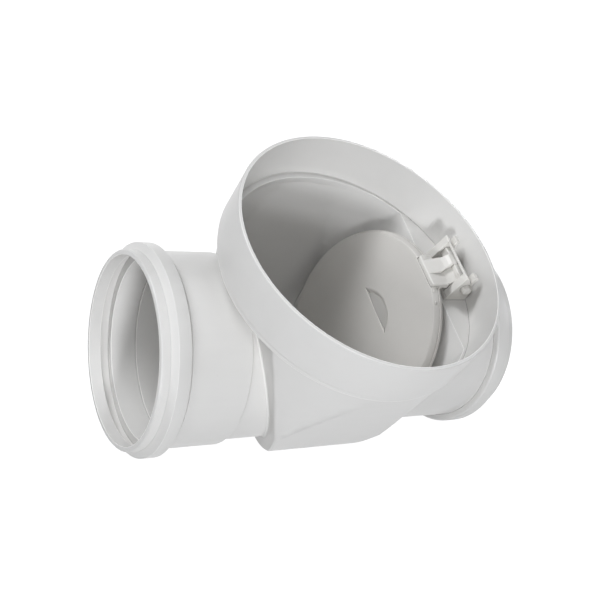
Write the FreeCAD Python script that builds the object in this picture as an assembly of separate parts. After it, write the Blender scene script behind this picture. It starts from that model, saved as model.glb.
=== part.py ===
import FreeCAD, Part
import math
import os
from FreeCAD import Vector

os.makedirs("parts", exist_ok=True)

# Backwater valve for a 160 mm drain pipe. All sizes are in millimetres.
# Origin: centre of the outlet socket's pipe stop. +X runs upstream to the inlet, +Z up the access port.

# pipe and sockets
pipe_r = 80.0
pipe_gap = 0.6             # room round the pipe in a socket's bore
socket_depth = 45.0        # from the mouth to the pipe stop
socket_wall = 5.8
lip_length = 11.0          # plain lip at the mouth
lip_gap = 2.2              # room round the pipe under the lip
lip_wall = 4.5
lip_foot = 3.0             # depth of the corner where the lip meets the bead
groove_length = 9.8        # seal groove behind the lip, left empty
groove_depth = 7.7         # from the socket's bore
bead_wall = 4.9            # over the groove
bead_end_wall = 4.2        # behind the groove
bead_ramp = 4.2            # length of the bead's sloping front
bead_cut = 2.2             # its rear corner, cut off straight
sleeve_length = 37.6       # the outlet socket's sleeve on the chamber's neck
weld_gap = 0.1             # room for solvent between two glued tubes

# chamber
neck_wall = 4.2
neck_stop = 2.1            # the neck's outside over the socket's bore, which makes the pipe stop
chamber_wall = 3.7
pot_r = 123.1              # outside of the pot under the port
pot_start = 8.8            # from the pipe stop to the pot
pot_draft = 4.0            # degrees that the round wall leans in
trough_r = 97.0            # the half-round bottom, about the outlet's axis
side_reach = 0.6           # the leaning long sides outside the pot, at the shoulder
outlet_wall_x = 72.7       # where the outlet's end wall crosses the outlet's axis
outlet_wall_lean = 21.8    # degrees from upright
end_cut = 2.0              # the end walls' edges, cut off outside
shoulder_z = 110.0         # the ledge inside the port, which carries the hinge
rim_depth = 5.6            # thickness of that ledge
rim_lip = 1.6              # the lip that centres the port ring
shoulder_width = 2.4       # the ledge seen inside the port ring

# port ring
port_ring_wall = 2.9
port_top_z = 155.1
port_foot = 2.3            # height of the collar's tapered foot
port_foot_cut = 1.3

# inlet
inlet_rise = 23.5          # the inlet's axis above the outlet's
inlet_length = 88.7        # from the crease to the mouth
inlet_wall = 4.2

# seat, on the inlet's end wall
ledge_depth = 29.0         # the hinge's ledge, from the port's wall to the crease over that wall
seat_angle = 75.0          # degrees from level
seat_bore_r = 75.0
seat_stand = 7.7           # how far the seat stands out of the wall
seat_gap = 0.3             # left between seal and seat at rest

# flap
flap_overlap = 10.1        # the back plate's edge outside the seat's
flap_bevel = 3.1           # the front cover's face inside the plate's edge
flap_lift = 10.6           # the flap's centre above the seat's, along the wall
plate_thickness = 2.8
cover_thickness = 6.2
cover_skirt = 1.6          # upright edge of the cover behind its bevel
cover_inset = 0.6          # the cover's edge inside the plate's
seal_width = 4.0
seal_r = 79.0
seal_stand = 2.0           # out of the plate
seal_bed = 1.6             # into the plate
seal_taper = 1.0
rib_height = 4.0
rib_thickness = 2.4
rib_count = 3              # ribs right across, inside one round rib
rib_ring_r = 60.0
grip_chord = 53.6          # finger recess: its straight lower edge
grip_height = 14.6
grip_depth = 3.8
grip_slope = 38.0          # degrees that its curved wall leans
grip_rise = 22.6           # the straight edge above the flap's centre

# hinge
pin_back = 15.7            # behind the crease
pin_height = 18.0          # above the ledge
pin_r = 2.9
pin_clearance = 0.05
pin_head_r = 4.8
pin_head = 4.0
pin_end = 3.4              # shank beyond the far cheek
clip_thickness = 1.1
clip_r = 5.6
clip_groove = 0.7
clip_play = 0.25
cheek_gap = 18.0           # from the middle to a cheek's inner face
cheek_thickness = 7.0
cheek_front = 12.5         # foot of a cheek's upright front edge, ahead of the pin
cheek_rear = 12.0          # its rear foot, behind the pin
cheek_peak = 7.0           # front of its peak, ahead of the pin
cheek_rise = 14.0          # height of its peak above the pin
bridge_width = 1.8         # bar from peak to peak, which stops the open flap
bridge_height = 2.4
bracket_floor = 3.5
post_x = 2.6               # front of the post on each cheek, behind the pin
post_width = 3.4
arm_near_y = -19.0         # the arm's foot and tab, which aren't centred on the flap
arm_far_y = 14.4
arm_foot = 4.0             # thickness of the foot behind the flap
arm_foot_drop = 5.0
tab_sink = 5.0             # how far the tab is let into the flap's top edge
tab_rise = 4.4
tab_round = 2.4
notch_gap = 0.3
bar_near_y = -6.4          # the bar from the tab to the knuckle
block_near_y = -1.6        # the raised block between bar and knuckle
block_far_y = 8.6
knuckle_r = 5.6
barrel_front = 5.5         # the knuckle's square front, ahead of the pin
barrel_top = 6.0           # its flat top above the pin
barrel_play = 0.3          # between its ends and the cheeks
block_rise = 0.7           # the bar's block above the knuckle
tab_step = 6.0             # the tab's far rear corner, cut back
screw_r = 2.0
screw_head_r = 3.6
screw_head = 1.6
screw_reach = 6.5          # of the screw in plate and cover
screw_y = 10.0

bore_r = pipe_r + pipe_gap
socket_r = bore_r + socket_wall
lip_bore_r = pipe_r + lip_gap
lip_r = lip_bore_r + lip_wall
groove_r = bore_r + groove_depth
bead_r = groove_r + bead_wall
neck_r = bore_r + neck_stop
neck_bore_r = neck_r - neck_wall
port_x = pot_start + pot_r
pot_bore_r = pot_r - chamber_wall
side_y = pot_r + side_reach
side_lean = math.acos(trough_r / math.hypot(side_y, shoulder_z)) - math.atan2(shoulder_z, side_y)
crease_x = port_x + pot_bore_r - ledge_depth
inlet_mouth_x = crease_x + inlet_length
port_bore_r = pot_bore_r + shoulder_width + 0.2
port_r = port_bore_r + port_ring_wall
rim_z = shoulder_z - rim_lip
inlet_stop_x = inlet_mouth_x - socket_depth
inlet_bore_r = socket_r - inlet_wall
insert_r = inlet_bore_r - weld_gap
flap_r = insert_r + flap_overlap
flap_face_r = flap_r - flap_bevel
pin_x = crease_x + pin_back
pin_z = shoulder_z + pin_height
lean = math.radians(seat_angle)
along = Vector(math.cos(lean), 0, math.sin(lean))
outward = Vector(-math.sin(lean), 0, math.cos(lean))
crease = Vector(crease_x, 0, shoulder_z)
back_n = seat_stand + seat_gap + seal_stand
split_n = back_n + plate_thickness
face_n = split_n + cover_thickness
pin = Vector(pin_x, 0, pin_z)
seat_u = (inlet_rise - shoulder_z - seat_stand * outward.z) / along.z
flap_u = seat_u + flap_lift
tab_floor_u = flap_u + flap_r - tab_sink


def at(u, n, y=0):
    """A point u up the inlet's end wall from the crease, n out of it and y across."""
    return crease + along * u + outward * n + Vector(0, y, 0)


def cut_wire(corners):
    """Closed wire through corners (point, cut); each corner is cut off straight, cut back each way."""
    points = []
    for i, (corner, cut) in enumerate(corners):
        before = (corners[i - 1][0] - corner).normalize()
        after = (corners[(i + 1) % len(corners)][0] - corner).normalize()
        points += [corner + before * cut, corner + after * cut] if cut else [corner]
    return Part.makePolygon(points + points[:1])


def rounded_wire(corners):
    """Closed wire through corners (point, radius), with a tangent arc at each radius above zero."""
    ends = []
    for i, (corner, radius) in enumerate(corners):
        if not radius:
            ends.append((corner, corner, corner, 0))
            continue
        before = (corners[i - 1][0] - corner).normalize()
        after = (corners[(i + 1) % len(corners)][0] - corner).normalize()
        half = before.getAngle(after) / 2
        cut = radius / math.tan(half)
        middle = corner + (before + after).normalize() * (radius / math.sin(half) - radius)
        ends.append((corner + before * cut, middle, corner + after * cut, radius))
    edges = []
    for i, (start, middle, end, radius) in enumerate(ends):
        if radius:
            edges.append(Part.Arc(start, middle, end).toShape())
        following = ends[(i + 1) % len(ends)][0]
        if (following - end).Length > 1e-6:
            edges.append(Part.makeLine(end, following))
    return Part.Wire(edges)


def turned_on_x(corners, z=0):
    """Solid turned about the X direction at height z, from corners (x, radius, cut)."""
    points = [(Vector(x, 0, r + z), cut) for x, r, cut in corners]
    return Part.Face(cut_wire(points)).revolve(Vector(0, 0, z), Vector(1, 0, 0), 360)


def turned_on_flap(corners, centre_u):
    """Solid turned about the flap's own direction, from corners (radius, n, cut)."""
    points = [(at(centre_u + r, n), cut) for r, n, cut in corners]
    return Part.Face(cut_wire(points)).revolve(at(centre_u, 0), outward, 360)


def profile_on_y(points, y_low, y_high):
    """Plate across the hinge: corners (point, round) in the XZ plane, from y_low to y_high."""
    moved = [(Vector(p.x, y_low, p.z), r) for p, r in points]
    return Part.Face(rounded_wire(moved)).extrude(Vector(0, y_high - y_low, 0))


def rod(radius, start, end):
    """Round bar from start to end."""
    return Part.makeCylinder(radius, (end - start).Length, start, end - start)


def hopper(inset, top):
    """The chamber's form, inset by a wall: round pot, leaning sides and the two leaning ends."""
    low = -trough_r - 10
    taper = math.tan(math.radians(pot_draft))
    top_r = pot_r - inset + (top - shoulder_z) * taper
    low_r = top_r - (top - low) * taper
    pot = Part.makeCone(low_r, top_r, top - low, Vector(port_x, 0, low))
    radius = trough_r - inset
    foot = Vector(0, radius * math.cos(side_lean), -radius * math.sin(side_lean))
    head = foot + Vector(0, (top - foot.z) * math.tan(side_lean), top - foot.z)
    mirror = [Vector(0, -p.y, p.z) for p in (foot, head)]
    outline = Part.Wire([
        Part.Arc(foot, Vector(0, 0, -radius), mirror[0]).toShape(),
        Part.makeLine(mirror[0], mirror[1]),
        Part.makeLine(mirror[1], head),
        Part.makeLine(head, foot),
    ])
    trough = Part.Face(outline).extrude(Vector(inlet_mouth_x, 0, 0))
    fall = math.tan(math.radians(outlet_wall_lean))
    left = outlet_wall_x + inset * math.hypot(1, fall)
    right = crease + outward * (inset - chamber_wall)
    slope = math.cos(lean) / math.sin(lean)
    side_view = [
        (Vector(left - fall * top, 0, top), 0),
        (Vector(left - fall * low, 0, low), 0),
        (Vector(right.x + slope * (low - right.z), 0, low), 0),
        (Vector(right.x + slope * (top - right.z), 0, top), 0),
    ]
    ends = profile_on_y(side_view, -2 * pot_r, 2 * pot_r)
    return pot.common(trough).common(ends)


def end_edges(solid):
    """Edges of a hopper that bound its two leaning ends, below its top."""
    top = solid.BoundBox.ZMax
    edges = []
    for face in solid.Faces:
        normal = face.normalAt(0, 0)
        flat = isinstance(face.Surface, Part.Plane)
        if flat and abs(normal.y) < 0.01 and abs(normal.z) < 0.9:
            edges += [e for e in face.Edges if e.BoundBox.ZMin < top - 1 and e.BoundBox.ZLength > 1]
    return edges


def socket_outside(mouth_x, way):
    """Outer corners of a socket from its mouth inwards; way is +1 where the pipe points to -X."""
    bead_start = mouth_x + way * (lip_length - lip_foot)
    bead_end = mouth_x + way * (lip_length + groove_length + bead_end_wall)
    return [
        (mouth_x, lip_r, 1.2),
        (bead_start, lip_r, 0),
        (bead_start + way * bead_ramp, bead_r, 0),
        (bead_end, bead_r, bead_cut),
        (bead_end, socket_r, 0),
    ]


def socket_inside(mouth_x, way):
    """Bore corners of a socket from its mouth in to the pipe stop."""
    groove_start = mouth_x + way * lip_length
    groove_end = groove_start + way * groove_length
    return [
        (mouth_x, lip_bore_r, 0),
        (groove_start, lip_bore_r, 0),
        (groove_start, groove_r, 0),
        (groove_end, groove_r, 0),
        (groove_end, bore_r, 0),
    ]


def outlet_socket():
    """Beaded socket glued over the chamber's outlet neck."""
    outside = socket_outside(-socket_depth, 1)
    inside = socket_inside(-socket_depth, 1)
    tail = [
        (sleeve_length, socket_r, 1.6),
        (sleeve_length, neck_r + weld_gap, 0),
        (0, neck_r + weld_gap, 0),
        (0, bore_r, 0),
    ]
    return turned_on_x(outside + tail + inside[::-1])


def chamber():
    """Pot with leaning ends, the outlet neck, the hinge ledge and the inlet socket in one moulding."""
    outer = hopper(0, shoulder_z - rim_depth + 1)
    outer = outer.makeChamfer(end_cut, end_edges(outer))
    rim = Part.makeCylinder(pot_r, rim_z - shoulder_z + rim_depth, Vector(port_x, 0, shoulder_z - rim_depth))
    lip_r_outer = port_bore_r - 0.2
    lip = Part.makeCylinder(lip_r_outer, shoulder_z - rim_z, Vector(port_x, 0, rim_z))
    neck = rod(neck_r, Vector(0, 0, 0), Vector(port_x, 0, 0))
    tube_x = at(seat_u, -chamber_wall).x
    outside = socket_outside(inlet_mouth_x, -1)
    inlet = turned_on_x([(tube_x, 0, 0), (inlet_mouth_x, 0, 0)] + outside + [(tube_x, socket_r, 0)], inlet_rise)
    far = inlet_mouth_x + pot_r
    beyond = profile_on_y([
        (at(-far, -chamber_wall), 0),
        (at(0, -chamber_wall), 0),
        (at(0, -chamber_wall) + Vector(far, 0, 0), 0),
        (at(-far, -chamber_wall) + Vector(far, 0, 0), 0),
    ], -pot_r, pot_r)
    reach = rod(socket_r, Vector(port_x, 0, inlet_rise), Vector(inlet_stop_x, 0, inlet_rise))
    body = outer.fuse([neck, rim, lip, inlet, reach.common(beyond)])
    hollow = hopper(chamber_wall, shoulder_z + 1)
    neck_bore = rod(neck_bore_r, Vector(-1, 0, 0), Vector(port_x, 0, 0))
    inside = socket_inside(inlet_mouth_x, -1)
    mouth = [(inlet_mouth_x + 1, 0, 0), (inlet_mouth_x + 1, lip_bore_r, 0)]
    throat = [
        (inlet_stop_x, bore_r, 0),
        (inlet_stop_x, inlet_bore_r, 0),
        (port_x + 20, inlet_bore_r, 0),
        (port_x + 20, 0, 0),
    ]
    inlet_bore = turned_on_x(mouth + [(inlet_mouth_x, lip_bore_r, 0)] + inside[1:] + throat, inlet_rise)
    return body.cut([hollow, neck_bore, inlet_bore]).removeSplitter()


def port_ring():
    """Plain collar of the access port, on the chamber's rim, notched over the inlet's crown."""
    wall = port_ring_wall
    profile = [
        (Vector(port_x + port_bore_r, 0, rim_z), 0),
        (Vector(port_x + port_r - port_foot_cut, 0, rim_z), 0),
        (Vector(port_x + port_r, 0, rim_z + port_foot), 0),
        (Vector(port_x + port_r, 0, port_top_z), 0.3 * wall),
        (Vector(port_x + port_bore_r, 0, port_top_z), 0),
    ]
    ring = Part.Face(cut_wire(profile)).revolve(Vector(port_x, 0, 0), Vector(0, 0, 1), 360)
    crown = rod(socket_r + weld_gap, Vector(port_x, 0, inlet_rise), Vector(inlet_mouth_x, 0, inlet_rise))
    return ring.cut(crown)


def seat_insert():
    """Tube glued in the inlet's bore: its slanted end is the seat, its square end the pipe stop."""
    tube = rod(insert_r, Vector(port_x, 0, inlet_rise), Vector(inlet_stop_x, 0, inlet_rise))
    tube = tube.cut(rod(seat_bore_r, Vector(port_x, 0, inlet_rise), Vector(inlet_mouth_x, 0, inlet_rise)))
    size = 4 * insert_r
    front = Part.makeBox(size, 2 * size, 2 * size, Vector(-size, -size, -size))
    front.Placement = FreeCAD.Placement(at(seat_u, seat_stand), FreeCAD.Rotation(Vector(0, 1, 0), 90 - seat_angle))
    return tube.cut(front)


def arm_notch(gap):
    """Space of the arm's tab in the flap's top edge."""
    floor_u = tab_floor_u - gap
    out_u = flap_u + 1.2 * flap_r
    low = back_n - 1
    corners = [
        (at(floor_u, low), 0),
        (at(floor_u, face_n + 5), 0),
        (at(out_u, face_n + 5), 0),
        (at(out_u, low), 0),
    ]
    return profile_on_y(corners, arm_near_y - gap, arm_far_y + gap)


def screw_axis(y, n):
    """Point at depth n on the axis of the arm's screw at y."""
    return at(tab_floor_u - arm_foot_drop, n, y)


def flap_cover():
    """Front of the flap: a flat face with a bevelled edge and a shallow finger recess."""
    edge_r = flap_r - cover_inset
    cover = turned_on_flap([
        (0, split_n, 0),
        (edge_r, split_n, 0),
        (edge_r, split_n + cover_skirt, 0),
        (flap_face_r, face_n, 0.9),
        (0, face_n, 0),
    ], flap_u)
    half = grip_chord / 2
    arc_r = (half ** 2 + grip_height ** 2) / (2 * grip_height)
    centre_u = flap_u + grip_rise + grip_height - arc_r
    run = 1 / math.tan(math.radians(grip_slope))
    pocket = turned_on_flap([
        (0, face_n - grip_depth, 0),
        (arc_r - grip_depth * run, face_n - grip_depth, 0),
        (arc_r, face_n, 0),
        (arc_r + run, face_n + 1, 0),
        (0, face_n + 1, 0),
    ], centre_u)
    keep = profile_on_y([
        (at(flap_u + grip_rise, face_n - 2 * grip_depth), 0),
        (at(flap_u + grip_rise, face_n + 1), 0),
        (at(flap_u + grip_rise + 2 * grip_height, face_n + 1), 0),
        (at(flap_u + grip_rise + 2 * grip_height, face_n - 2 * grip_depth), 0),
    ], -grip_chord, grip_chord)
    holes = [rod(screw_r, screw_axis(y, split_n - 1), screw_axis(y, back_n - arm_foot + screw_reach))
             for y in (-screw_y, screw_y)]
    return cover.cut([pocket.common(keep), arm_notch(notch_gap)] + holes)


def flap_back_plate():
    """Back of the flap: the seal's groove, and ribs that reach into the seat's bore."""
    plate = turned_on_flap([
        (0, back_n, 0),
        (flap_r, back_n, 0),
        (flap_r, split_n, 0),
        (0, split_n, 0),
    ], flap_u)
    centre = seat_u
    ribs = []
    rib_n = back_n - rib_height
    for i in range(rib_count):
        angle = math.radians(180 * i / rib_count)
        way = along * math.cos(angle) + Vector(0, math.sin(angle), 0)
        side = along * -math.sin(angle) + Vector(0, math.cos(angle), 0)
        start = at(centre, rib_n) - way * (rib_ring_r - rib_thickness / 2)
        end = at(centre, rib_n) + way * (rib_ring_r - rib_thickness / 2)
        half = side * (rib_thickness / 2)
        wire = Part.makePolygon([start - half, end - half, end + half, start + half, start - half])
        ribs.append(Part.Face(wire).extrude(outward * (rib_height + 0.5)))
    ribs.append(turned_on_flap([
        (rib_ring_r - rib_thickness, rib_n, 0),
        (rib_ring_r, rib_n, 0),
        (rib_ring_r, back_n + 0.5, 0),
        (rib_ring_r - rib_thickness, back_n + 0.5, 0),
    ], centre))
    groove = turned_on_flap([
        (seal_r - seal_width / 2, back_n - 1, 0),
        (seal_r + seal_width / 2, back_n - 1, 0),
        (seal_r + seal_width / 2, back_n + seal_bed, 0),
        (seal_r - seal_width / 2, back_n + seal_bed, 0),
    ], centre)
    holes = [rod(screw_r, screw_axis(y, back_n - 1), screw_axis(y, split_n + 1)) for y in (-screw_y, screw_y)]
    return plate.fuse(ribs).cut([groove, arm_notch(notch_gap)] + holes)


def flap_seal():
    """Rubber ring bedded in the back plate, tapered towards the seat on its outside."""
    return turned_on_flap([
        (seal_r - seal_width / 2, back_n + seal_bed, 0),
        (seal_r + seal_width / 2, back_n + seal_bed, 0),
        (seal_r + seal_width / 2 - seal_taper, back_n - seal_stand, 0),
        (seal_r - seal_width / 2, back_n - seal_stand, 0),
    ], seat_u)


def hinge_arm():
    """Tab on the flap's top edge, with a foot behind it, and a bar to the knuckle on the pin."""
    foot_n = back_n - arm_foot
    crown = at(tab_floor_u + tab_rise, face_n + 0.4)
    back = Vector(pin_x - 2.4 * knuckle_r, 0, crown.z)
    tab = [
        (at(tab_floor_u - 2 * arm_foot_drop, foot_n), 1.0),
        (at(tab_floor_u - 2 * arm_foot_drop, back_n), 0),
        (at(tab_floor_u, back_n), 0),
        (at(tab_floor_u, face_n + 0.4), 0.8),
        (crown, 1.4),
        (back, 1.0),
        (back - Vector(0, 0, tab_rise + 1), 1.0),
        (at(tab_floor_u + tab_rise - 1, foot_n), 1.0),
    ]
    wide = profile_on_y(tab, arm_near_y, arm_far_y)
    ends = Part.makeBox(pin_x - crown.x, arm_far_y - arm_near_y, 2 * crown.z, Vector(crown.x - 0.5, arm_near_y, 0))
    upright = [e for e in ends.Edges if e.BoundBox.ZLength > 1 and e.BoundBox.XMax < crown.x]
    wide = wide.common(ends.makeFillet(tab_round, upright))
    ramp = [
        (crown + Vector(1, 0, -3), 0),
        (crown + Vector(1, 0, 0), 0),
        (Vector(pin_x - 1.9 * knuckle_r, 0, pin_z + 0.5 * knuckle_r), 6.0),
        (Vector(pin_x, 0, pin_z + 0.5 * knuckle_r), 0),
        (Vector(pin_x, 0, pin_z - 0.5 * knuckle_r), 0),
        (Vector(back.x, 0, crown.z - 7), 2.0),
    ]
    wide_end = Vector(back.x - 5, bar_near_y, 0)
    narrow_end = Vector(pin_x, block_near_y, 0)
    waist = Vector(back.x + 6, block_near_y - 0.6, 0)
    root = Vector(crown.x, 0, 0)
    far = Vector(0, block_far_y, 0)
    plan = Part.Wire([
        Part.makeLine(root + Vector(0, bar_near_y, 0), wide_end),
        Part.Arc(wide_end, waist, narrow_end).toShape(),
        Part.makeLine(narrow_end, Vector(pin_x, 0, 0) + far),
        Part.makeLine(Vector(pin_x, 0, 0) + far, root + far),
        Part.makeLine(root + far, root + Vector(0, bar_near_y, 0)),
    ])
    bar = profile_on_y(ramp, bar_near_y, block_far_y)
    bar = bar.common(Part.Face(plan).extrude(Vector(0, 0, 2 * pin_z)))
    block = [
        (Vector(pin_x - 2.1 * knuckle_r, 0, pin_z - 0.6 * knuckle_r), 0),
        (Vector(pin_x - 2.1 * knuckle_r, 0, pin_z + 0.5 * knuckle_r), 1.0),
        (Vector(pin_x - 1.4 * knuckle_r, 0, pin_z + barrel_top + block_rise), 1.0),
        (Vector(pin_x, 0, pin_z + barrel_top + block_rise), 1.0),
        (Vector(pin_x, 0, pin_z - knuckle_r), 0),
    ]
    raised = profile_on_y(block, block_near_y, block_far_y)
    end_y = cheek_gap - barrel_play
    barrel = profile_on_y([
        (Vector(pin_x - barrel_front, 0, pin_z - knuckle_r / 2), 0),
        (Vector(pin_x - barrel_front, 0, pin_z + barrel_top), 0.8),
        (Vector(pin_x + pin_r, 0, pin_z + barrel_top), 2.0),
        (Vector(pin_x + pin_r, 0, pin_z - knuckle_r / 2), 0),
    ], -end_y, end_y)
    knuckle = rod(knuckle_r, pin - Vector(0, end_y, 0), pin + Vector(0, end_y, 0)).fuse(barrel)
    bore = rod(pin_r + pin_clearance, pin - Vector(0, cheek_gap, 0), pin + Vector(0, cheek_gap, 0))
    step = Part.makeBox(2 * tab_step, arm_far_y, 2 * crown.z, Vector(back.x - tab_step, block_far_y, 0))
    holes = [rod(screw_r, screw_axis(y, foot_n - 1), screw_axis(y, back_n + 1)) for y in (-screw_y, screw_y)]
    return wide.cut(step).fuse([bar, raised, knuckle]).cut([bore] + holes)


def arm_screws():
    """The two screws that hold the foot to the flap, heads behind the flap."""
    foot_n = back_n - arm_foot
    screws = []
    for y in (-screw_y, screw_y):
        shank = rod(screw_r, screw_axis(y, foot_n), screw_axis(y, foot_n + screw_reach))
        head = rod(screw_head_r, screw_axis(y, foot_n - screw_head), screw_axis(y, foot_n))
        top = screw_axis(y, foot_n - screw_head)
        slot = Part.makeBox(0.8, 4.4, 1.6, Vector(-0.4, -2.2, -0.8))
        slot.Placement = FreeCAD.Placement(top, FreeCAD.Rotation(Vector(0, 0, 1), outward))
        screws.append(shank.fuse(head).cut(slot).removeSplitter())
    return Part.Compound(screws)


def hinge_bracket():
    """Two upright cheeks on a floor plate, a bridge from peak to peak and a post on each cheek."""
    outer = cheek_gap + cheek_thickness
    front_x = pin_x - cheek_front
    rear_x = pin_x + cheek_rear
    peak_x = pin_x - cheek_peak
    peak_z = pin_z + cheek_rise
    rear_top = pin_z - 4.0
    cheek = [
        (Vector(front_x, 0, shoulder_z), 0),
        (Vector(rear_x, 0, shoulder_z), 0),
        (Vector(rear_x, 0, rear_top), 1.2),
        (Vector(peak_x + bridge_width, 0, peak_z), 0.8),
        (Vector(peak_x, 0, peak_z), 0.8),
    ]
    pieces = [profile_on_y(cheek, y, y + cheek_thickness) for y in (cheek_gap, -outer)]
    pieces.append(Part.makeBox(cheek_front + cheek_rear, 2 * outer, bracket_floor,
                               Vector(front_x, -outer, shoulder_z)))
    pieces.append(Part.makeBox(bridge_width - 0.4, 2 * cheek_gap + 2, bridge_height - 0.4,
                               Vector(peak_x + 0.2, -cheek_gap - 1, peak_z - bridge_height + 0.2)))
    for y in (cheek_gap, -outer):
        pieces.append(Part.makeBox(post_width, cheek_thickness, cheek_rise + 4,
                                   Vector(pin_x + post_x, y, pin_z - 4)))
    across = Vector(0, outer + 1, 0)
    bore = rod(pin_r + pin_clearance, pin - across, pin + across)
    return pieces[0].fuse(pieces[1:]).cut(bore).removeSplitter()


def hinge_pin():
    """Headed pin through both cheeks and the knuckle, grooved for its clip."""
    outer = cheek_gap + cheek_thickness
    near = pin - Vector(0, outer, 0)
    far = pin + Vector(0, outer + pin_end, 0)
    shank = rod(pin_r, near, far)
    shank = shank.makeChamfer(0.5, [e for e in shank.Edges if e.Closed and e.BoundBox.YMin > far.y - 0.01])
    head = rod(pin_head_r, near - Vector(0, pin_head, 0), near)
    head = head.makeChamfer(0.6, [e for e in head.Edges if e.Closed and e.BoundBox.YMax < near.y - pin_head + 0.01])
    start = pin + Vector(0, outer + clip_play, 0)
    end = start + Vector(0, clip_thickness + 0.1, 0)
    groove = rod(pin_r + 1, start, end).cut(rod(pin_r - clip_groove, start, end))
    return shank.fuse(head).cut(groove).removeSplitter()


def pin_clip():
    """Open ring snapped in the pin's groove."""
    start = pin + Vector(0, cheek_gap + cheek_thickness + clip_play + 0.05, 0)
    end = start + Vector(0, clip_thickness, 0)
    ring = rod(clip_r, start, end).cut(rod(pin_r - clip_groove + 0.05, start, end))
    mouth = Part.makeBox(2 * (pin_r - clip_groove), clip_thickness, 2 * clip_r,
                         start + Vector(-(pin_r - clip_groove), 0, 0))
    return ring.cut(mouth)


pieces = {
    "chamber": chamber,
    "port_ring": port_ring,
    "outlet_socket": outlet_socket,
    "seat_insert": seat_insert,
    "flap_cover": flap_cover,
    "flap_back_plate": flap_back_plate,
    "flap_seal": flap_seal,
    "hinge_arm": hinge_arm,
    "arm_screws": arm_screws,
    "hinge_bracket": hinge_bracket,
    "hinge_pin": hinge_pin,
    "pin_clip": pin_clip,
}

for name, make in pieces.items():
    shape = make()
    shape.exportStep("parts/" + name + ".step")
    box = shape.BoundBox
    print(name, "solids", len(shape.Solids), "valid", shape.isValid(), "volume", round(shape.Volume),
          "x", round(box.XMin, 1), round(box.XMax, 1), "z", round(box.ZMin, 1), round(box.ZMax, 1))
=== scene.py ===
import bpy
import bmesh
import math
import numpy as np
from mathutils import Matrix, Vector


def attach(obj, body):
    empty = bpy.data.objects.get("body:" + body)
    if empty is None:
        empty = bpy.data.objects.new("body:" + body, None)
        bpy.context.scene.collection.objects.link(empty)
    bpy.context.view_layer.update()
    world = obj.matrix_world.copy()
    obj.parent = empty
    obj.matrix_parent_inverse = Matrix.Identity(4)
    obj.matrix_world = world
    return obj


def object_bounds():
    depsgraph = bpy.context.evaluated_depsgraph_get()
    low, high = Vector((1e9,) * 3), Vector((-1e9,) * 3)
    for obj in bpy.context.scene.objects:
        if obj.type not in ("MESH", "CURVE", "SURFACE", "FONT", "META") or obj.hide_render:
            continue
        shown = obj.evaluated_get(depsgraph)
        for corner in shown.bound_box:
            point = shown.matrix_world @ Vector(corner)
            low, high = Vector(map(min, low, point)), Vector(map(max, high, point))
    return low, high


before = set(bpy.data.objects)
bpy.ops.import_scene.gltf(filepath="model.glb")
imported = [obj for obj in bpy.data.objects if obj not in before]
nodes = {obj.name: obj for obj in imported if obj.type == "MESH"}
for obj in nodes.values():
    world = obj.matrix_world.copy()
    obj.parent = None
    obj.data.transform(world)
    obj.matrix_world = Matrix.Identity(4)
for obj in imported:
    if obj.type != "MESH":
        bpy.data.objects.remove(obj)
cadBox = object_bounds()

mm = 0.001
scene = bpy.context.scene
scene.view_settings.view_transform = "Standard"
print("frame loaded:", len(nodes), "nodes")

# where the valve's parts stand, in millimetres, as the solids have them
valve = {
    "creaseX": 222.3, "shoulderZ": 110.0, "seatLean": 75.0,  # crease of ledge and inlet's end wall
    "flapU": -81.0146, "flapR": 92.2,                        # flap's centre below it, and its rim
    "splitN": 12.8, "faceN": 19.0,                           # cover's foot and face, off the wall
    "neckR": 82.7, "endWallX": 72.7, "endWallLean": 21.8,    # outlet neck, and the wall it leaves
    "pinX": 238.0, "pinZ": 128.0,
}
lean = math.radians(valve["seatLean"])
wallUp = np.array([math.cos(lean), 0.0, math.sin(lean)])
wallOut = np.array([-math.sin(lean), 0.0, math.cos(lean)])
sideways = np.array([0.0, 1.0, 0.0])
crease = np.array([valve["creaseX"], 0.0, valve["shoulderZ"]])

camera = {
    "place": (-0.3370, -0.4091, 0.6433), "lens": 56.08, "sensor": 36.0,
    "right": (0.8497, -0.3059, 0.4294), "up": (-0.0020, 0.8126, 0.5828),
    "back": (-0.5272, -0.4961, 0.6899),
}


def addCamera(c):
    data = bpy.data.cameras.new("camera")
    data.lens = c["lens"]
    data.sensor_width = c["sensor"]
    obj = bpy.data.objects.new("camera", data)
    scene.collection.objects.link(obj)
    turn = Matrix((c["right"], c["up"], c["back"])).transposed().to_quaternion().normalized()
    obj.matrix_world = Matrix.Translation(c["place"]) @ turn.to_matrix().to_4x4()
    scene.camera = obj


addCamera(camera)
print("camera placed")

# two pairs of soft keys either side of the camera and weak fills all round; azimuth in degrees
# from +X towards +Y
lampAim = (0.13, 0.0, 0.05)
lampTint = (0.950, 0.968, 1.0)
lamps = {
    "nearKeyLow": {"azimuth": 252, "elevation": 16, "far": 1.8, "size": 0.22, "watts": 14.7},
    "nearKeyHigh": {"azimuth": 252, "elevation": 24, "far": 1.8, "size": 0.22, "watts": 7.3},
    "farKeyHigh": {"azimuth": 126, "elevation": 43, "far": 1.8, "size": 0.55, "watts": 14.3},
    "farKeyLow": {"azimuth": 143, "elevation": 32, "far": 1.8, "size": 0.50, "watts": 8.8},
    "leftFill": {"azimuth": 200, "elevation": 32, "far": 1.8, "size": 0.60, "watts": 4.5},
    "frontFill": {"azimuth": 222, "elevation": 50, "far": 1.8, "size": 0.60, "watts": 5.4},
    "inletFill": {"azimuth": 350, "elevation": 40, "far": 1.8, "size": 0.60, "watts": 4.6},
    "backFill": {"azimuth": 40, "elevation": 6, "far": 1.8, "size": 0.70, "watts": 11.0},
}
dome = {"level": 0.01, "tint": (0.950, 0.968, 1.0)}
floor = {"half": 7.0, "drop": 0.0004, "grey": 0.20, "white": 0.95}
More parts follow.
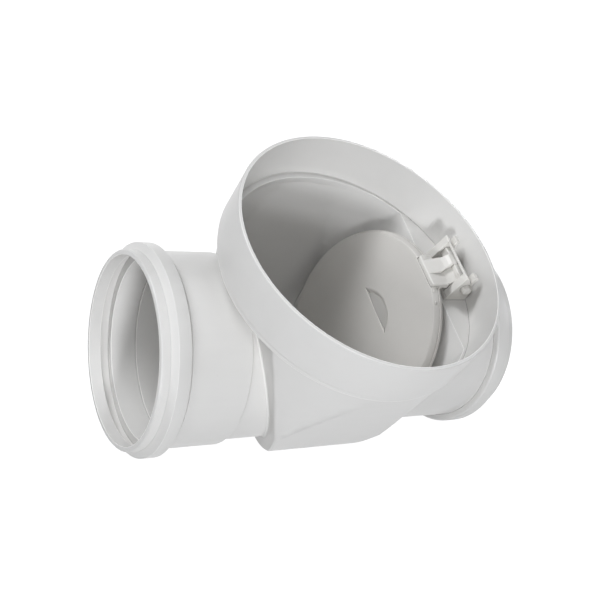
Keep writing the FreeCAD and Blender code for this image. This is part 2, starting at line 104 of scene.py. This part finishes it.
seenRays = ("Is Camera Ray", "Is Glossy Ray", "Is Transmission Ray")


def addLamp(name, d):
    # place = aim + far * (cos e cos a, cos e sin a, sin e), facing back to the aim
    data = bpy.data.lights.new(name, "AREA")
    data.shape = "DISK"
    data.energy = d["watts"]
    data.size = d["size"]
    data.color = lampTint
    e, a = math.radians(d["elevation"]), math.radians(d["azimuth"])
    way = Vector((math.cos(e) * math.cos(a), math.cos(e) * math.sin(a), math.sin(e)))
    obj = bpy.data.objects.new(name, data)
    obj.location = Vector(lampAim) + way * d["far"]
    obj.rotation_euler = way.to_track_quat("Z", "Y").to_euler()
    scene.collection.objects.link(obj)


def anyRay(tree, labels):
    # 1 where the ray is one of the named kinds
    path = tree.nodes.new("ShaderNodeLightPath")
    found = path.outputs[labels[0]]
    for label in labels[1:]:
        either = tree.nodes.new("ShaderNodeMath")
        either.operation = "MAXIMUM"
        tree.links.new(found, either.inputs[0])
        tree.links.new(path.outputs[label], either.inputs[1])
        found = either.outputs[0]
    return found


def addWorld(d):
    world = bpy.data.worlds.new("studio")
    scene.world = world
    world.use_nodes = True
    tree = world.node_tree
    tree.nodes.clear()
    out = tree.nodes.new("ShaderNodeOutputWorld")
    mix = tree.nodes.new("ShaderNodeMixShader")
    lit = tree.nodes.new("ShaderNodeBackground")
    lit.inputs["Color"].default_value = (*d["tint"], 1)
    lit.inputs["Strength"].default_value = d["level"]
    seen = tree.nodes.new("ShaderNodeBackground")
    seen.inputs["Color"].default_value = (1, 1, 1, 1)
    tree.links.new(anyRay(tree, seenRays), mix.inputs["Fac"])
    tree.links.new(lit.outputs[0], mix.inputs[1])
    tree.links.new(seen.outputs[0], mix.inputs[2])
    tree.links.new(mix.outputs[0], out.inputs["Surface"])


def addFloor(d):
    h = d["half"]
    z = cadBox[0].z - d["drop"]
    mesh = bpy.data.meshes.new("floor")
    mesh.from_pydata([(-h, -h, z), (h, -h, z), (h, h, z), (-h, h, z)], [], [(0, 1, 2, 3)])
    obj = bpy.data.objects.new("floor", mesh)
    scene.collection.objects.link(obj)
    mat = bpy.data.materials.new("floorPaper")
    mat.use_nodes = True
    tree = mat.node_tree
    tree.nodes.clear()
    out = tree.nodes.new("ShaderNodeOutputMaterial")
    both = tree.nodes.new("ShaderNodeAddShader")
    plain = tree.nodes.new("ShaderNodeBsdfDiffuse")
    plain.inputs["Color"].default_value = (d["grey"], d["grey"], d["grey"], 1)
    glow = tree.nodes.new("ShaderNodeEmission")
    share = tree.nodes.new("ShaderNodeMath")
    share.operation = "MULTIPLY"
    share.inputs[1].default_value = d["white"]
    tree.links.new(anyRay(tree, seenRays), share.inputs[0])
    tree.links.new(share.outputs[0], glow.inputs["Strength"])
    tree.links.new(plain.outputs[0], both.inputs[0])
    tree.links.new(glow.outputs[0], both.inputs[1])
    tree.links.new(both.outputs[0], out.inputs["Surface"])
    mesh.materials.append(mat)


for lampName, lampValues in lamps.items():
    addLamp(lampName, lampValues)
addWorld(dome)
addFloor(floor)
print("light and floor set:", len(lamps), "lamps")


def newGroup(name, numbers, outs):
    group = bpy.data.node_groups.new(name, "ShaderNodeTree")
    for label, value in numbers.items():
        kind = "NodeSocketColor" if isinstance(value, tuple) else "NodeSocketFloat"
        socket = group.interface.new_socket(name=label, in_out="INPUT", socket_type=kind)
        socket.default_value = (*value, 1.0) if isinstance(value, tuple) else value
    for label, kind in outs.items():
        group.interface.new_socket(name=label, in_out="OUTPUT", socket_type=kind)
    return group, group.nodes.new("NodeGroupInput"), group.nodes.new("NodeGroupOutput")


def noise(tree, coords, scale, detail=3.0, rough=0.55):
    node = tree.nodes.new("ShaderNodeTexNoise")
    node.inputs["Scale"].default_value = scale
    node.inputs["Detail"].default_value = detail
    node.inputs["Roughness"].default_value = rough
    tree.links.new(coords, node.inputs["Vector"])
    return node.outputs["Fac"]


def stretched(tree, coords, scale, turn=(0.0, 0.0, 0.0)):
    node = tree.nodes.new("ShaderNodeMapping")
    node.inputs["Scale"].default_value = scale
    node.inputs["Rotation"].default_value = turn
    tree.links.new(coords, node.inputs["Vector"])
    return node.outputs[0]


def calc(tree, operation, a, b):
    node = tree.nodes.new("ShaderNodeMath")
    node.operation = operation
    for k, value in enumerate((a, b)):
        if isinstance(value, (int, float)):
            node.inputs[k].default_value = value
        else:
            tree.links.new(value, node.inputs[k])
    return node.outputs[0]


def remap(tree, value, low, high, toLow, toHigh):
    node = tree.nodes.new("ShaderNodeMapRange")
    for k, part in enumerate((value, low, high, toLow, toHigh)):
        if isinstance(part, (int, float)):
            node.inputs[k].default_value = part
        else:
            tree.links.new(part, node.inputs[k])
    return node.outputs[0]


def blendColor(tree, kind, share, a, b):
    node = tree.nodes.new("ShaderNodeMix")
    node.data_type = "RGBA"
    node.blend_type = kind
    for k, value in ((0, share), (6, a), (7, b)):
        if isinstance(value, tuple):
            node.inputs[k].default_value = (*value, 1.0)
        elif isinstance(value, (int, float)):
            node.inputs[k].default_value = value
        else:
            tree.links.new(value, node.inputs[k])
    return node.outputs[2]


def greyColor(tree, value):
    node = tree.nodes.new("ShaderNodeCombineColor")
    for k in range(3):
        tree.links.new(value, node.inputs[k])
    return node.outputs[0]


# noise scales are per metre; a pair is where a mask starts and is full
plasticGrain = {
    "cloud": 14.0, "streak": (18.0, 90.0, 90.0), "speck": 900.0, "patch": 9.0,
    "scuffs": (((30.0, 900.0, 900.0), (0.4, 0.7, 0.2)), ((900.0, 40.0, 900.0), (0.3, -0.5, 0.9))),
    "patchMask": (0.50, 0.66), "scuffMask": (0.71, 0.76), "speckMask": (0.70, 0.78),
    "dust": (0.46, 0.45, 0.43), "rubbed": (0.74, 0.74, 0.73), "rubbedShare": 0.3,
    "roughCloud": 0.16, "roughScuff": 0.3, "peel": 620.0, "wave": 60.0, "waveShare": 1.6,
}


def mouldedPlastic(d):
    # cloudy tone of a thick moulding, streaks where the melt flowed, hairline scuffs, specks of
    # dust, orange peel
    group, put, get = newGroup("mouldedPlastic", {
        "Color": (0.7, 0.7, 0.7), "Tone": 0.05, "Streaks": 0.03, "Specks": 0.3, "Scuffs": 0.2,
        "Roughness": 0.4, "Peel": 0.1,
    }, {"Color": "NodeSocketColor", "Roughness": "NodeSocketFloat", "Height": "NodeSocketFloat"})
    spot = group.nodes.new("ShaderNodeTexCoord").outputs["Object"]
    cloud = calc(group, "SUBTRACT", noise(group, spot, d["cloud"], 3.0), 0.5)
    flow = stretched(group, spot, d["streak"])
    streak = calc(group, "SUBTRACT", noise(group, flow, 1.0, 2.0), 0.5)
    shade = calc(group, "ADD", calc(group, "MULTIPLY", cloud, put.outputs["Tone"]),
                 calc(group, "MULTIPLY", streak, put.outputs["Streaks"]))
    tone = greyColor(group, calc(group, "ADD", shade, 1.0))
    toned = blendColor(group, "MULTIPLY", 1.0, put.outputs["Color"], tone)
    speck = remap(group, noise(group, spot, d["speck"], 1.0), *d["speckMask"], 0.0, 1.0)
    speckMask = calc(group, "MULTIPLY", speck, put.outputs["Specks"])
    dusty = blendColor(group, "MIX", speckMask, toned, d["dust"])
    lines = [noise(group, stretched(group, spot, *way), 1.0, 1.0) for way in d["scuffs"]]
    line = remap(group, calc(group, "MAXIMUM", *lines), *d["scuffMask"], 0.0, 1.0)
    patch = remap(group, noise(group, spot, d["patch"], 1.0), *d["patchMask"], 0.0, 1.0)
    scuffMask = calc(group, "MULTIPLY", calc(group, "MULTIPLY", line, patch), put.outputs["Scuffs"])
    rubbed = calc(group, "MULTIPLY", scuffMask, d["rubbedShare"])
    group.links.new(blendColor(group, "MIX", rubbed, dusty, d["rubbed"]), get.inputs["Color"])
    rougher = calc(group, "ADD", calc(group, "MULTIPLY", cloud, d["roughCloud"]),
                   calc(group, "MULTIPLY", scuffMask, d["roughScuff"]))
    group.links.new(calc(group, "ADD", put.outputs["Roughness"], rougher), get.inputs["Roughness"])
    wave = calc(group, "MULTIPLY", noise(group, spot, d["wave"], 2.0), d["waveShare"])
    peel = calc(group, "ADD", noise(group, spot, d["peel"], 2.0), wave)
    group.links.new(calc(group, "MULTIPLY", peel, put.outputs["Peel"]), get.inputs["Height"])
    return group


metalGrain = {
    "lines": (300.0, 2600.0, 300.0), "dark": (0.35, 0.34, 0.33), "darkShare": 0.35,
    "roughShare": 0.2,
}


def drawnMetal(d):
    # fine turning lines round a small steel part
    group, put, get = newGroup("drawnMetal", {
        "Color": (0.6, 0.6, 0.6), "Roughness": 0.3, "Lines": 0.2,
    }, {"Color": "NodeSocketColor", "Roughness": "NodeSocketFloat", "Height": "NodeSocketFloat"})
    spot = group.nodes.new("ShaderNodeTexCoord").outputs["Object"]
    line = noise(group, stretched(group, spot, d["lines"]), 1.0, 2.0)
    dark = calc(group, "MULTIPLY", line, d["darkShare"])
    group.links.new(blendColor(group, "MIX", dark, put.outputs["Color"], d["dark"]),
                    get.inputs["Color"])
    rougher = calc(group, "MULTIPLY", line, d["roughShare"])
    group.links.new(calc(group, "ADD", put.outputs["Roughness"], rougher), get.inputs["Roughness"])
    group.links.new(calc(group, "MULTIPLY", line, put.outputs["Lines"]), get.inputs["Height"])
    return group


# ambient occlusion spans for the painted edge highlight and the painted shade in corners
paintedLightMasks = {"edge": (0.90, 0.50), "corner": (0.96, 0.50), "samples": 8}


def paintedHighlightAndShade(d):
    # paler along outer edges as a painted highlight, darker in corners and gaps as painted shade
    group, put, get = newGroup("paintedHighlightAndShade", {
        "Color": (0.7, 0.7, 0.7), "PaintedEdgeHighlight": 0.2, "EdgeReach": 0.0012,
        "PaintedCornerShade": 0.4, "CornerReach": 0.002,
    }, {"Color": "NodeSocketColor"})
    masks = []
    kinds = ((True, "EdgeReach", d["edge"]), (False, "CornerReach", d["corner"]))
    for inside, reach, span in kinds:
        near = group.nodes.new("ShaderNodeAmbientOcclusion")
        near.samples = d["samples"]
        near.inside = inside
        near.only_local = inside
        group.links.new(put.outputs[reach], near.inputs["Distance"])
        masks.append(remap(group, near.outputs["AO"], *span, 0.0, 1.0))
    edge, corner = masks
    lift = calc(group, "ADD", calc(group, "MULTIPLY", edge, put.outputs["PaintedEdgeHighlight"]), 1.0)
    drop = calc(group, "SUBTRACT", 1.0, calc(group, "MULTIPLY", corner, put.outputs["PaintedCornerShade"]))
    tone = greyColor(group, calc(group, "MULTIPLY", lift, drop))
    group.links.new(blendColor(group, "MULTIPLY", 1.0, put.outputs["Color"], tone),
                    get.inputs["Color"])
    return group


groups = {
    "mouldedPlastic": mouldedPlastic(plasticGrain), "drawnMetal": drawnMetal(metalGrain),
    "paintedHighlightAndShade": paintedHighlightAndShade(paintedLightMasks),
}

# edge is the small radius in millimetres that a material's moulded edges show
# how strong each finish's painted edge highlight and painted shade in corners are
plainPaintedLight = {"PaintedEdgeHighlight": 0.60, "EdgeReach": 0.0008, "PaintedCornerShade": 0.42, "CornerReach": 0.0010}
shelfPaintedLight = {"PaintedEdgeHighlight": 0.60, "EdgeReach": 0.0008, "PaintedCornerShade": 0.32, "CornerReach": 0.0060}
filletPaintedLight = {"PaintedEdgeHighlight": 0.0, "EdgeReach": 0.0006, "PaintedCornerShade": 0.42, "CornerReach": 0.0010}
smallPaintedLight = {"PaintedEdgeHighlight": 0.25, "EdgeReach": 0.0006, "PaintedCornerShade": 0.45, "CornerReach": 0.0012}
pvc = {
    "group": "mouldedPlastic", "Color": (0.650, 0.640, 0.620), "Roughness": 0.36, "Tone": 0.05,
    "Streaks": 0.03, "Specks": 0.20, "Scuffs": 0.25, "Peel": 0.10, "worn": plainPaintedLight, "edge": 0.45,
    "specular": 0.5,
}
cover = {
    "group": "mouldedPlastic", "Color": (0.568, 0.551, 0.521), "Roughness": 0.46, "Tone": 0.06,
    "Streaks": 0.03, "Specks": 0.30, "Scuffs": 0.35, "Peel": 0.12, "worn": plainPaintedLight, "edge": 0.4,
    "specular": 0.45,
}
finishes = {
    "bodyPvc": pvc,
    "shelfPvc": {**pvc, "Roughness": 0.40, "Specks": 0.30, "worn": shelfPaintedLight, "edge": 0.3},
    "filletPvc": {**pvc, "Roughness": 0.50, "worn": filletPaintedLight, "edge": 0.3},
    "seatPvc": {**pvc, "Color": (0.612, 0.600, 0.580), "Roughness": 0.38, "Scuffs": 0.20},
    "flapPlastic": cover,
    # the recess floor's darker colour is painted shade, standing in for the recess's shading
    "recessPaintedShadePlastic": {**cover, "Color": (0.385, 0.373, 0.352), "Roughness": 0.50, "Scuffs": 0.20,
                      "worn": filletPaintedLight},
    "hingePlastic": {**pvc, "Color": (0.650, 0.634, 0.600), "Roughness": 0.44, "Tone": 0.04,
                     "Streaks": 0.02, "Specks": 0.15, "Scuffs": 0.15, "Peel": 0.08,
                     "worn": smallPaintedLight, "edge": 0.3},
    "sealRubber": {**pvc, "Color": (0.018, 0.018, 0.019), "Roughness": 0.62, "Tone": 0.2,
                   "Streaks": 0.0, "Specks": 0.15, "Scuffs": 0.0, "Peel": 0.2,
                   "worn": smallPaintedLight, "edge": 0.3, "specular": 0.35},
    "screwSteel": {"group": "drawnMetal", "Color": (0.58, 0.58, 0.57), "Roughness": 0.26,
                   "Lines": 0.1, "worn": smallPaintedLight, "edge": 0.2, "specular": 0.5, "metallic": 1.0},
}
slotFinish = {
    "body_pvc": "bodyPvc", "flap_plastic": "flapPlastic", "hinge_plastic": "hingePlastic",
}
nodeFinish = {
    "chamber": "bodyPvc", "port_ring": "bodyPvc", "outlet_socket": "bodyPvc",
    "seat_insert": "seatPvc", "flap_cover": "flapPlastic", "flap_back_plate": "flapPlastic",
    "flap_seal": "sealRubber", "hinge_arm": "hingePlastic", "arm_screws": "screwSteel",
    "hinge_bracket": "hingePlastic", "hinge_pin": "hingePlastic", "pin_clip": "screwSteel",
}
relief = {"samples": 8, "strength": 0.25, "distance": 0.0006}


def makeMaterial(name, d):
    mat = bpy.data.materials.new(name)
    mat.use_nodes = True
    tree = mat.node_tree
    shader = tree.nodes["Principled BSDF"]
    effect = tree.nodes.new("ShaderNodeGroup")
    effect.node_tree = groups[d["group"]]
    for label, value in d.items():
        if label in effect.inputs:
            isColor = isinstance(value, tuple)
            effect.inputs[label].default_value = (*value, 1.0) if isColor else value
    # painted edge highlight and painted shade in corners laid over the plastic's colour
    worn = tree.nodes.new("ShaderNodeGroup")
    worn.node_tree = groups["paintedHighlightAndShade"]
    for label, value in d["worn"].items():
        worn.inputs[label].default_value = value
    tree.links.new(effect.outputs["Color"], worn.inputs["Color"])
    tree.links.new(worn.outputs["Color"], shader.inputs["Base Color"])
    tree.links.new(effect.outputs["Roughness"], shader.inputs["Roughness"])
    soft = tree.nodes.new("ShaderNodeBevel")
    soft.samples = relief["samples"]
    soft.inputs["Radius"].default_value = d["edge"] * mm
    bump = tree.nodes.new("ShaderNodeBump")
    bump.inputs["Strength"].default_value = relief["strength"]
    bump.inputs["Distance"].default_value = relief["distance"]
    tree.links.new(effect.outputs["Height"], bump.inputs["Height"])
    tree.links.new(soft.outputs["Normal"], bump.inputs["Normal"])
    tree.links.new(bump.outputs["Normal"], shader.inputs["Normal"])
    shader.inputs["Specular IOR Level"].default_value = d["specular"]
    shader.inputs["Metallic"].default_value = d.get("metallic", 0.0)
    return mat


materials = {name: makeMaterial(name, d) for name, d in finishes.items()}
for nodeName, finishName in nodeFinish.items():
    nodes[nodeName].data.materials.clear()
    nodes[nodeName].data.materials.append(materials[finishName])
print("materials made:", len(materials))

smoothing = {"join": 0.004, "sharp": 52.0}


def creaseGroup(d):
    # joins the loose triangles, shades them smooth and leaves edges past the limit sharp
    group = bpy.data.node_groups.new("creaseByAngle", "GeometryNodeTree")
    group.interface.new_socket(name="Geometry", in_out="INPUT", socket_type="NodeSocketGeometry")
    group.interface.new_socket(name="Geometry", in_out="OUTPUT", socket_type="NodeSocketGeometry")
    put = group.nodes.new("NodeGroupInput")
    get = group.nodes.new("NodeGroupOutput")
    merge = group.nodes.new("GeometryNodeMergeByDistance")
    merge.inputs["Distance"].default_value = d["join"] * mm
    angle = group.nodes.new("GeometryNodeInputMeshEdgeAngle")
    limit = group.nodes.new("FunctionNodeCompare")
    limit.data_type = "FLOAT"
    limit.operation = "LESS_THAN"
    limit.inputs[1].default_value = math.radians(d["sharp"])
    faces = group.nodes.new("GeometryNodeSetShadeSmooth")
    faces.domain = "FACE"
    edges = group.nodes.new("GeometryNodeSetShadeSmooth")
    edges.domain = "EDGE"
    group.links.new(put.outputs[0], merge.inputs["Geometry"])
    group.links.new(merge.outputs[0], faces.inputs["Geometry"])
    group.links.new(faces.outputs[0], edges.inputs["Geometry"])
    group.links.new(angle.outputs["Unsigned Angle"], limit.inputs[0])
    group.links.new(limit.outputs[0], edges.inputs["Shade Smooth"])
    group.links.new(edges.outputs[0], get.inputs[0])
    return group


def smoothNodes(d):
    group = creaseGroup(d)
    for obj in nodes.values():
        step = obj.modifiers.new("creaseByAngle", "NODES")
        step.node_group = group
        even = obj.modifiers.new("evenNormals", "WEIGHTED_NORMAL")
        even.mode = "FACE_AREA"
        even.weight = 100
        even.keep_sharp = True


smoothNodes(smoothing)
print("solids smoothed")


gridShape = {"join": 0.001, "sharp": 50.0}


def addGrid(name, grid, body, slot, wrapRows=False, wrapColumns=True, finish=None):
    # grid is rows x columns x 3 in millimetres; quads join neighbours, and may run on from the last
    # to the first
    rows, columns, _ = grid.shape
    row = np.arange(rows if wrapRows else rows - 1)[:, None]
    column = np.arange(columns if wrapColumns else columns - 1)[None, :]
    here, over = row * columns, (row + 1) % rows * columns
    right = (column + 1) % columns
    faces = np.stack([here + column, here + right, over + right, over + column], axis=-1)
    mesh = bpy.data.meshes.new(name)
    mesh.from_pydata((grid.reshape(-1, 3) * mm).tolist(), [], faces.reshape(-1, 4).tolist())
    work = bmesh.new()
    work.from_mesh(mesh)
    bmesh.ops.remove_doubles(work, verts=work.verts, dist=gridShape["join"] * mm)
    bmesh.ops.recalc_face_normals(work, faces=work.faces)
    work.to_mesh(mesh)
    work.free()
    mesh.shade_smooth()
    mesh.set_sharp_from_angle(angle=math.radians(gridShape["sharp"]))
    obj = bpy.data.objects.new(name, mesh)
    scene.collection.objects.link(obj)
    mesh.materials.append(materials[finish or slotFinish[slot]])
    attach(obj, body)


def addClosedSection(name, section, body, slot, finish=None):
    # sections that close round themselves, each end shut by its own last points
    addGrid(name, section, body, slot, wrapRows=True, wrapColumns=False, finish=finish)


def ballAngles(d):
    # height and turn over a ball, in rows from pole to pole
    height = np.linspace(-np.pi / 2, np.pi / 2, d["rows"])[:, None]
    turn = np.linspace(0, 2 * np.pi, d["turns"], endpoint=False)[None, :]
    return height, turn


neckBead = {"reach": 2.4, "sink": 1.2, "turns": 288, "steps": 9}


def makeNeckBead(d):
    # fillet where the neck leaves the end wall: for each angle round the neck,
    # point(t) = corner + (1 - t)^2 * reach * back + t^2 * reach * upWall, closed through a point
    # sunk in the material
    fall = math.tan(math.radians(valve["endWallLean"]))
    turn = np.linspace(0, 2 * np.pi, d["turns"], endpoint=False)[None, :]
    radial = np.stack([0 * turn, np.cos(turn), np.sin(turn)], axis=-1)
    corner = radial * valve["neckR"]
    corner[..., 0] = valve["endWallX"] - fall * corner[..., 2]
    upWall = radial.copy()
    upWall[..., 0] = -fall * radial[..., 2]
    upWall /= np.linalg.norm(upWall, axis=-1, keepdims=True)
    back = np.array([-1.0, 0.0, 0.0])
    t = np.linspace(0, 1, d["steps"])[:, None, None]
    curve = corner + (1 - t) ** 2 * back * d["reach"] + t ** 2 * upWall * d["reach"]
    sunk = corner - back * d["sink"] - radial * d["sink"]
    grid = np.concatenate([curve, sunk], axis=0)
    addGrid("neck_bead", grid, "valve_body", "body_pvc", wrapRows=True, finish="filletPvc")


makeNeckBead(neckBead)

rimPips = {
    "places": ((88.6, -23.0), (85.3, -34.0)), "long": 2.0, "wide": 1.1, "high": 1.0,
    "bevelFoot": 1.6, "bevelRun": 2.5, "inset": 1.9, "below": 2.2, "turns": 20, "rows": 11,
}


def makeRimPips(d):
    # two small pips on the flap's bevel, each an ellipsoid half sunk:
    # point = spot + long cos h cos a * along + wide cos h sin a * down + high sin h * up
    height, turn = ballAngles(d)
    centre = crease + wallUp * valve["flapU"]
    slope = math.atan2(valve["faceN"] - valve["splitN"] - d["bevelFoot"], d["bevelRun"])
    for k, (u, y) in enumerate(d["places"]):
        ray = (wallUp * u + sideways * y) / math.hypot(u, y)
        along = np.cross(wallOut, ray)
        up = ray * math.sin(slope) + wallOut * math.cos(slope)
        down = ray * math.cos(slope) - wallOut * math.sin(slope)
        spot = (centre + ray * (valve["flapR"] - d["inset"])
                + wallOut * (valve["faceN"] - d["below"]))
        grid = (spot + along * (d["long"] * np.cos(height) * np.cos(turn))[..., None]
                + down * (d["wide"] * np.cos(height) * np.sin(turn))[..., None]
                + up * (d["high"] * np.sin(height) * np.ones_like(turn))[..., None])
        addGrid("rim_pip_%d" % (k + 1), grid, "flap", "flap_plastic")


makeRimPips(rimPips)

fingerDimple = {
    "chord": 53.6, "height": 14.6, "rise": 22.6, "shallow": 0.15, "deep": 3.2, "wallLean": 38.0,
    "skin": 2.4, "over": 0.3, "turns": 49, "steps": 9,
}


def makeFingerDimple(d):
    # floor of the finger recess, a cone about the centre of its arc, whose depth grows evenly from
    # shallow to deep as rho runs from low, the middle of the straight edge, to the foot of the
    # arc's wall; each column starts on the straight edge, rho = low / cos a, runs a little under
    # the wall, and a second sheet a skin below closes it
    arcR = ((d["chord"] / 2) ** 2 + d["height"] ** 2) / (2 * d["height"])
    low = arcR - d["height"]
    foot = arcR - d["deep"] / math.tan(math.radians(d["wallLean"]))
    a = np.linspace(-1, 1, d["turns"])[None, :] * math.acos(low / foot)
    t = np.linspace(0, 1, d["steps"])[:, None]
    rho = low / np.cos(a) * (1 - t) + (foot + d["over"]) * t
    more = (d["deep"] - d["shallow"]) * (rho - low) / (foot - low)
    n = valve["faceN"] - d["shallow"] - more
    rho = np.concatenate([rho, rho[::-1]])
    n = np.concatenate([n, n[::-1] - d["skin"]])
    u = valve["flapU"] + d["rise"] - low + rho * np.cos(a)
    across = (rho * np.sin(a))[..., None] * sideways
    grid = crease + u[..., None] * wallUp + across + n[..., None] * wallOut
    # the floor's darker finish is painted shade
    addClosedSection("finger_dimple", grid, "flap", "flap_plastic", finish="recessPaintedShadePlastic")


makeFingerDimple(fingerDimple)

ledgeBand = {
    "portX": 131.9, "outer": 122.05, "wall": 119.4, "more": 3.6, "top": 110.02, "turns": 280,
    "start": 56.0, "full": 92.0,                                # degrees away from the hinge
    "deep": 14.0, "shallow": 5.0, "slantEnd": 145, "slantRun": 20,
    "sink": 0.3, "sinkFrom": 148, "sinkRun": 2,                 # under the end wall's own ledge
    "lap": 0.05, "round": 0.5, "nick": 0.15, "lip": 1.2,        # the front edge
    "foot": 0.3, "back": 0.7, "rear": 0.6, "endIn": 1.5, "endDown": 1.0,  # buried points
}


def makeLedgeBand(d):
    # the ledge under the collar where it is wider: a profile (r, z) carried round the port, which
    # grows from nothing beside the hinge to its full width and slants back into the wall below;
    # both ends close inside the wall
    angle = np.linspace(d["start"], 360 - d["start"], d["turns"])[None, :]
    away = np.minimum(angle, 360 - angle)
    grown = np.clip((away - d["start"]) / (d["full"] - d["start"]), 0, 1)
    inner = d["wall"] - d["lap"] - d["more"] * grown
    slant = np.clip((d["slantEnd"] - away) / d["slantRun"], 0, 1)
    depth = d["shallow"] + (d["deep"] - d["shallow"]) * slant
    outer, wall = d["outer"] + 0 * inner, d["wall"] + 0 * inner
    top = d["top"] - d["sink"] * np.clip((away - d["sinkFrom"]) / d["sinkRun"], 0, 1)
    r = np.concatenate([outer, inner + d["round"], inner + d["nick"], inner, inner,
                        wall + d["foot"], wall + d["back"], outer - d["rear"]])
    z = np.concatenate([top, top, top - d["nick"], top - d["round"], top - d["lip"],
                        top - depth, top - depth, top - d["lip"]])
    r[:, [0, -1]] = d["wall"] + d["endIn"]
    z[:, [0, -1]] = d["top"] - d["endDown"]
    c, s = np.cos(np.radians(angle)), np.sin(np.radians(angle))
    grid = np.stack([d["portX"] + r * c, r * s, z], axis=-1)
    addClosedSection("ledge_band", grid, "valve_body", "body_pvc", finish="shelfPvc")


makeLedgeBand(ledgeBand)

pinDome = {"faceY": -29.0, "r": 4.25, "high": 2.0, "turns": 40, "rows": 17}


def makePinDome(d):
    # rounded end on the hinge pin's head, an ellipsoid half sunk in it:
    # (r cos h cos a, high sin h, r cos h sin a)
    h, a = ballAngles(d)
    grid = np.stack([valve["pinX"] + d["r"] * np.cos(h) * np.cos(a),
                     d["faceY"] + d["high"] * np.sin(h) + 0 * a,
                     valve["pinZ"] + d["r"] * np.cos(h) * np.sin(a)], axis=-1)
    addGrid("pin_dome", grid, "valve_body", "hinge_plastic")


makePinDome(pinDome)

knuckleCap = {
    "x": (213.0, 219.0, 224.0, 227.5, 230.5, 233.0, 238.0),
    "z": (125.2, 127.6, 129.9, 132.2, 134.0, 134.85, 134.95),
    "far": 8.65, "near": -1.65, "flare": 4.8, "from": 219.6, "power": 2.2, "round": 0.6, "cut": 0.3,
    "under": 3.0, "endY": 3.0, "endDown": 1.0, "smooth": 7, "steps": 40,
}


def makeKnuckleCap(d):
    # top of the bar and its raised block as one slope up to the pin: a section across the hinge,
    # with rounded shoulders, carried along x under the height z(x), which is averaged over its
    # neighbours; its near side flares as ((end - x) / (end - from))^power
    x = np.linspace(d["x"][0], d["x"][-1], d["steps"])
    top = np.pad(np.interp(x, d["x"], d["z"]), d["smooth"] // 2, mode="edge")
    top = np.convolve(top, np.ones(d["smooth"]) / d["smooth"], mode="valid")
    flare = np.clip((x[-1] - x) / (x[-1] - d["from"]), 0, 1) ** d["power"]
    near = d["near"] - d["flare"] * flare
    far = d["far"] + 0 * x
    k, cut = d["round"], d["cut"] * d["round"]
    low, shoulder = top - d["under"], top - k
    y = np.stack([near, near, near + cut, near + k, far - k, far - cut, far, far])
    z = np.stack([low, shoulder, top - cut, top, top, top - cut, shoulder, low])
    y[:, [0, -1]], z[:, [0, -1]] = d["endY"], top[[0, -1]] - d["endDown"]
    grid = np.stack([x + 0 * y, y, z], axis=-1)
    addClosedSection("knuckle_cap", grid, "flap", "hinge_plastic")


makeKnuckleCap(knuckleCap)

knuckleApron = {
    "x": (223.4, 225.0, 232.8, 232.8, 225.0, 223.4),
    "z": (125.2, 125.3, 129.4, 126.6, 122.4, 122.0),
    "near": -17.6, "far": -1.0,
}


def makeKnuckleApron(d):
    # web between the tab's rear edge and the knuckle: a flat outline (x, z) drawn out along y, with
    # each end drawn in to the outline's middle
    x, z = np.array(d["x"])[:, None], np.array(d["z"])[:, None]
    y = np.array([d["near"], d["near"], d["far"], d["far"]])[None, :]
    shut = np.array([0.0, 1.0, 1.0, 0.0])[None, :]
    xShut, zShut = x.mean() + (x - x.mean()) * shut, z.mean() + (z - z.mean()) * shut
    grid = np.stack([xShut, y + 0 * x, zShut], axis=-1)
    addClosedSection("knuckle_apron", grid, "flap", "hinge_plastic")


makeKnuckleApron(knuckleApron)
print("detail pieces made")
